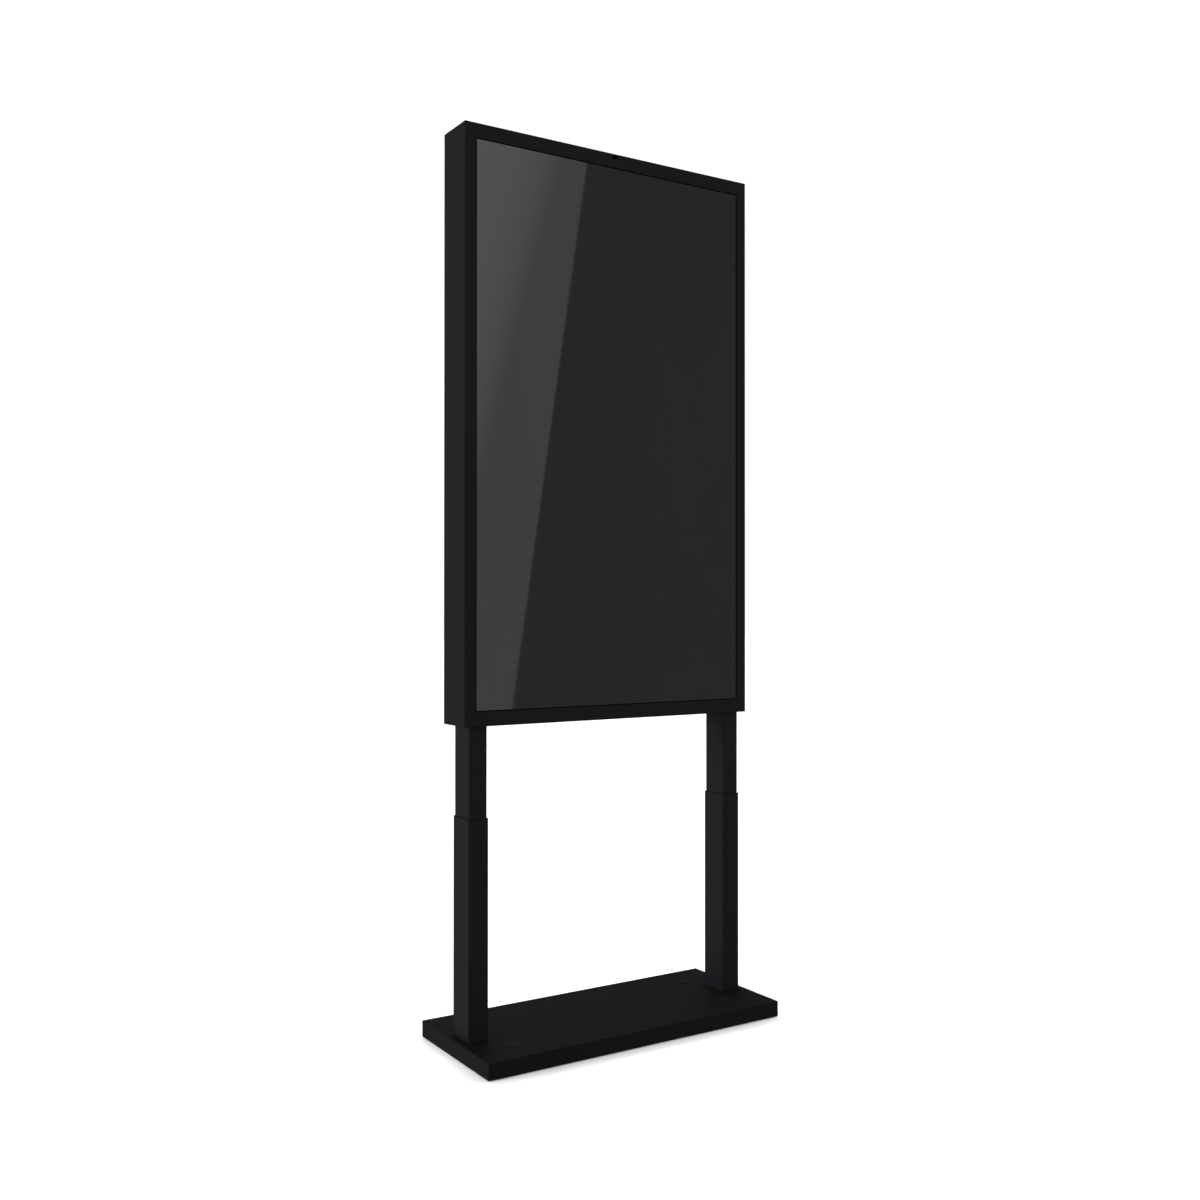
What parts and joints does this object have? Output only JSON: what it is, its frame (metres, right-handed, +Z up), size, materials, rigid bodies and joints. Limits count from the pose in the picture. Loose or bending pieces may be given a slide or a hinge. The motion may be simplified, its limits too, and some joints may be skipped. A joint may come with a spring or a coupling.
{
  "type": "touchscreen kiosk",
  "caption": "Tall portrait touchscreen kiosk: a deep black screen housing with a rear service door on a pair of motor-driven telescopic columns and a flat weighted base.",
  "frame": {"origin": "on the floor, under the middle of the base", "axes": "+Z up, the screen faces -Y, +X to the right of a viewer who faces the screen"},
  "size_m": [0.746, 0.336, 1.986],
  "materials": {
    "black_powder_coat": "fine satin powder coat",
    "column_black": "satin anodised black",
    "ballast_steel": "plain primer grey-black",
    "zinc_steel": "zinc plated",
    "glide_plastic": "fine moulded",
    "pad_rubber": "matt",
    "plug_plastic": "fine moulded",
    "spindle_steel": "ground and greased",
    "nut_acetal": "moulded acetal",
    "motor_steel": "painted",
    "galvanised_sheet": "galvanised",
    "cover_glass": "polished, dark behind",
    "gasket_rubber": "matt",
    "lcd_front": "dark display film",
    "player_aluminium": "black anodised",
    "supply_aluminium": "mill finish",
    "controller_plastic": "moulded",
    "lead_rubber": "satin",
    "sensor_plastic": "dark translucent",
    "inlet_plastic": "moulded",
    "rocker_plastic": "moulded",
    "button_plastic": "moulded",
    "lock_chrome": "satin nickel",
    "fan_plastic": "moulded"
  },
  "bodies": {
    "base": {"base_cover": "black_powder_coat", "ballast_plate": "ballast_steel", "levelling_studs": "zinc_steel", "levelling_pads": "pad_rubber", "levelling_lock_nuts": "zinc_steel", "access_plugs": "plug_plastic", "column_bolts": "zinc_steel", "column_flange_left": "zinc_steel", "column_flange_right": "zinc_steel", "outer_tube_left": "column_black", "outer_tube_right": "column_black", "glide_collar_left": "glide_plastic", "glide_collar_right": "glide_plastic", "push_tube_left": "zinc_steel", "push_tube_right": "zinc_steel", "spindle_nut_left": "nut_acetal", "spindle_nut_right": "nut_acetal"},
    "head": {"crossbars": "galvanised_sheet", "equipment_plate": "galvanised_sheet", "gearmotor_left": "motor_steel", "gearmotor_right": "motor_steel", "glass_carrier": "galvanised_sheet", "glass_gasket": "gasket_rubber", "glide_shoe_left": "glide_plastic", "glide_shoe_right": "glide_plastic", "head_bracket_left": "galvanised_sheet", "head_bracket_right": "galvanised_sheet", "head_fasteners": "zinc_steel", "head_flange_left": "zinc_steel", "head_flange_right": "zinc_steel", "housing": "black_powder_coat", "housing_hinges": "black_powder_coat", "inner_tube_left": "column_black", "inner_tube_right": "column_black", "lcd_chassis": "galvanised_sheet", "lcd_panel": "lcd_front", "lead_clips": "controller_plastic", "lift_controller": "controller_plastic", "lift_switch": "button_plastic", "media_player": "player_aluminium", "power_inlet": "inlet_plastic", "power_supply": "supply_aluminium", "sensor_window": "sensor_plastic", "touch_glass": "cover_glass", "vesa_rail_left": "galvanised_sheet", "vesa_rail_right": "galvanised_sheet", "wiring": "lead_rubber"},
    "rear_door": {"door_panel": "black_powder_coat", "door_hinges": "black_powder_coat", "lock_barrels": "lock_chrome", "fan_housing": "fan_plastic", "fan_screws": "zinc_steel"},
    "button_down": {"button_down": "button_plastic"},
    "button_up": {"button_up": "button_plastic"},
    "fan_rotor": {"fan_rotor": "fan_plastic"},
    "lock_cam_lower": {"lock_cam_lower": "zinc_steel"},
    "lock_cam_upper": {"lock_cam_upper": "zinc_steel"},
    "power_rocker": {"power_rocker": "rocker_plastic"},
    "spindle_left": {"spindle_left": "spindle_steel"},
    "spindle_right": {"spindle_right": "spindle_steel"}
  },
  "joints": [
    {"name": "lift", "type": "slide", "parent": "base", "child": "head", "axis": [0, 0, 1], "range_m": [-0.17, 0.13]},
    {"name": "spindle_left_turn", "type": "hinge", "parent": "head", "child": "spindle_left", "pos_m": [-0.333, 0.002, 0.4], "axis": [0, 0, 1], "continuous": true},
    {"name": "spindle_right_turn", "type": "hinge", "parent": "head", "child": "spindle_right", "pos_m": [0.333, 0.002, 0.4], "axis": [0, 0, 1], "continuous": true},
    {"name": "rear_door_swing", "type": "hinge", "parent": "head", "child": "rear_door", "pos_m": [0.364, 0.064, 1.346], "axis": [0, 0, -1], "range_deg": [0, 110]},
    {"name": "lock_lower_turn", "type": "hinge", "parent": "rear_door", "child": "lock_cam_lower", "pos_m": [-0.338, 0.057, 1.046], "axis": [0, 1, 0], "range_deg": [0, 90]},
    {"name": "lock_upper_turn", "type": "hinge", "parent": "rear_door", "child": "lock_cam_upper", "pos_m": [-0.338, 0.057, 1.646], "axis": [0, 1, 0], "range_deg": [0, 90]},
    {"name": "fan_spin", "type": "hinge", "parent": "rear_door", "child": "fan_rotor", "pos_m": [0, 0.045, 1.84], "axis": [0, 1, 0], "continuous": true},
    {"name": "power_rocker_tilt", "type": "hinge", "parent": "head", "child": "power_rocker", "pos_m": [0.2155, 0.03, 0.7085], "axis": [1, 0, 0], "range_deg": [-14, 0]},
    {"name": "button_up_press", "type": "slide", "parent": "head", "child": "button_up", "axis": [-1, 0, 0], "range_m": [0, 0.0012], "stiffness_N_per_m": 300, "springref_m": -0.002},
    {"name": "button_down_press", "type": "slide", "parent": "head", "child": "button_down", "axis": [-1, 0, 0], "range_m": [0, 0.0012], "stiffness_N_per_m": 300, "springref_m": -0.002}
  ],
  "couplings": [
    {"joint": "spindle_left_turn", "follows": "lift", "rad_per_m": 523.6},
    {"joint": "spindle_right_turn", "follows": "lift", "rad_per_m": 523.6}
  ]
}
